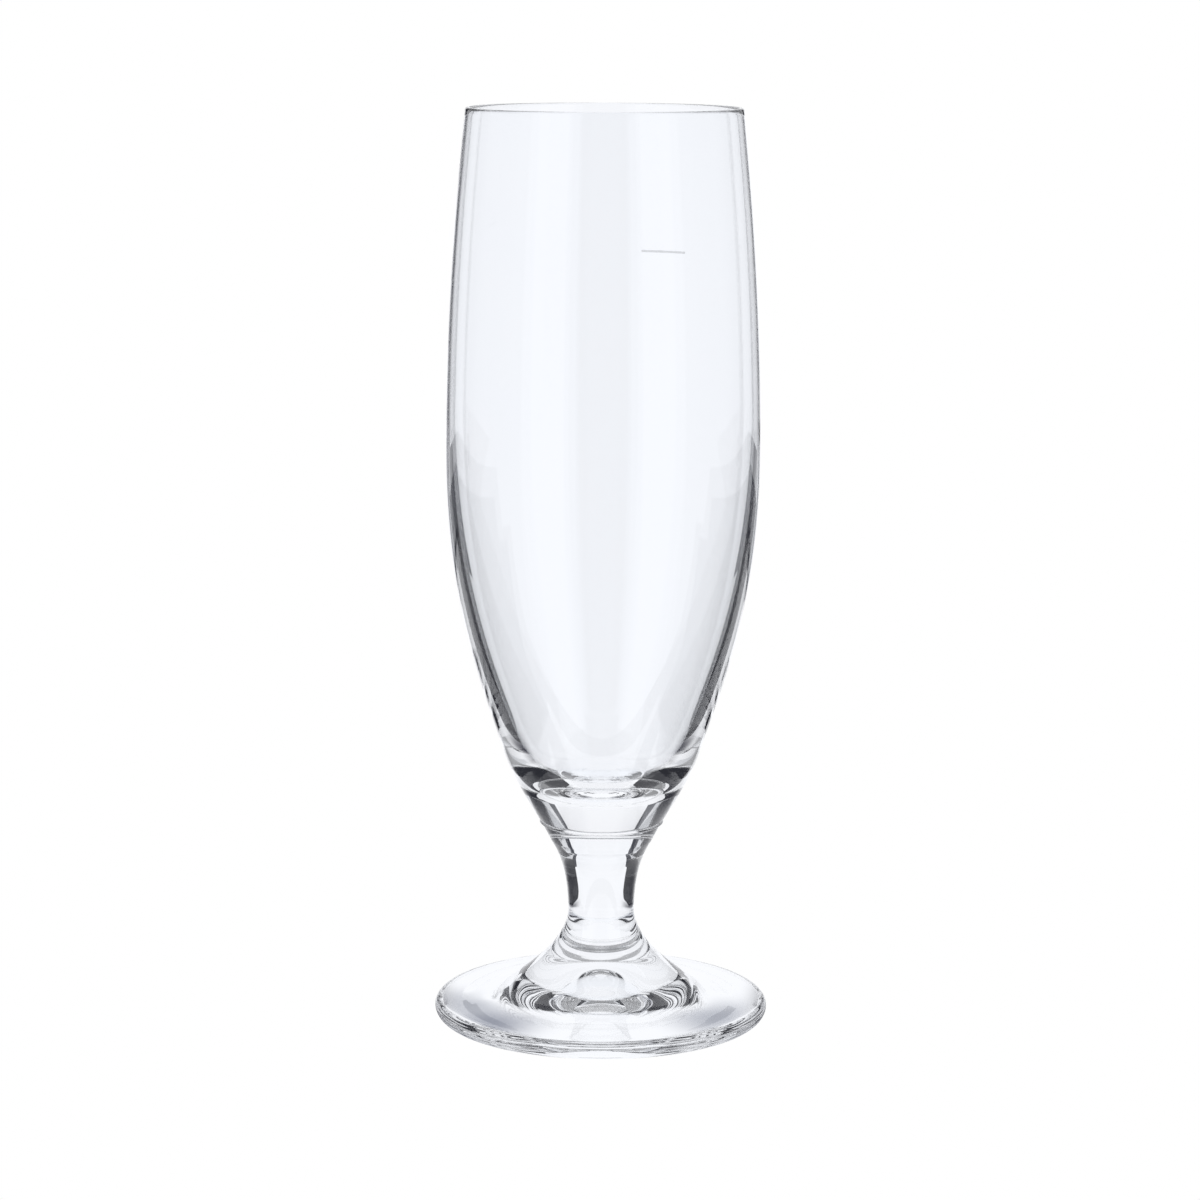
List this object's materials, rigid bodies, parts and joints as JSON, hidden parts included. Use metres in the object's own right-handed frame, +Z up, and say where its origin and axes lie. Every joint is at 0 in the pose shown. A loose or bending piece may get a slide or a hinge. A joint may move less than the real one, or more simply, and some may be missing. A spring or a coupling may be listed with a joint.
{
  "type": "pilsner glass",
  "caption": "Tall footed beer glass: a slender bowl with a thin wall and a heavy base, fused to a short stem on a trumpet foot, with a fill line for its rated volume.",
  "frame": {"origin": "centre of the foot's standing face, on the table", "axes": "+Z up along the glass's axis, towards the lip; -Y is the side that faces the viewer"},
  "size_m": [0.0734, 0.0734, 0.1997],
  "materials": {
    "clear_glass": "fire polished, clear",
    "white_enamel": "fired on, satin"
  },
  "bodies": {
    "root": {"foot": "clear_glass", "stem": "clear_glass", "bowl": "clear_glass", "fill_line": "white_enamel"}
  },
  "joints": []
}
